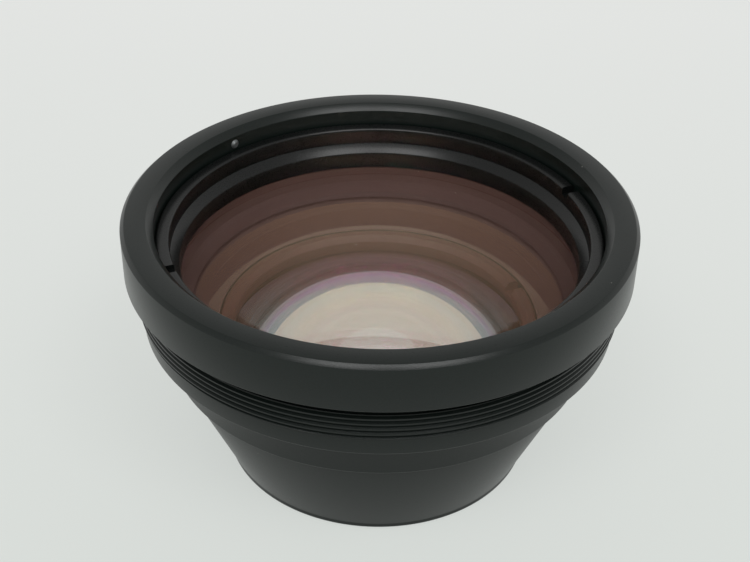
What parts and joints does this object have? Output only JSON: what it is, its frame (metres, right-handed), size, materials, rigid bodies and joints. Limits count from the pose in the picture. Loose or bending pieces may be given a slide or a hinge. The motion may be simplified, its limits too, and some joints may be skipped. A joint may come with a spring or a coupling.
{
  "type": "f theta scan lens",
  "caption": "F-theta scan lens in a black anodised housing, with a wide flange, an M85 x 1 mount thread and a conical entrance end.",
  "frame": {"origin": "centre of the foot of the entrance cone, on the surface that the lens stands on", "axes": "+Z along the optical axis, from the entrance end to the output end"},
  "size_m": [0.089, 0.089, 0.0488],
  "materials": {
    "housing_black": "black anodised, fine bead-blasted satin",
    "ring_black": "black anodised, turned, satin",
    "coated_glass": "polished, anti-reflection coated with a pink and gold cast, edges ground",
    "seal_rubber": "smooth matte",
    "screw_steel": "bright, plain"
  },
  "bodies": {
    "root": {"main_barrel": "housing_black", "entrance_cone": "housing_black", "lock_ring": "ring_black", "pressure_ring": "ring_black", "middle_lens_ring": "ring_black", "entrance_lens_ring": "ring_black", "exit_lens": "coated_glass", "middle_lens": "coated_glass", "entrance_lens": "coated_glass", "exit_o_ring": "seal_rubber", "entrance_o_ring": "seal_rubber", "joint_o_ring": "seal_rubber", "ring_set_screw": "screw_steel"}
  },
  "joints": []
}
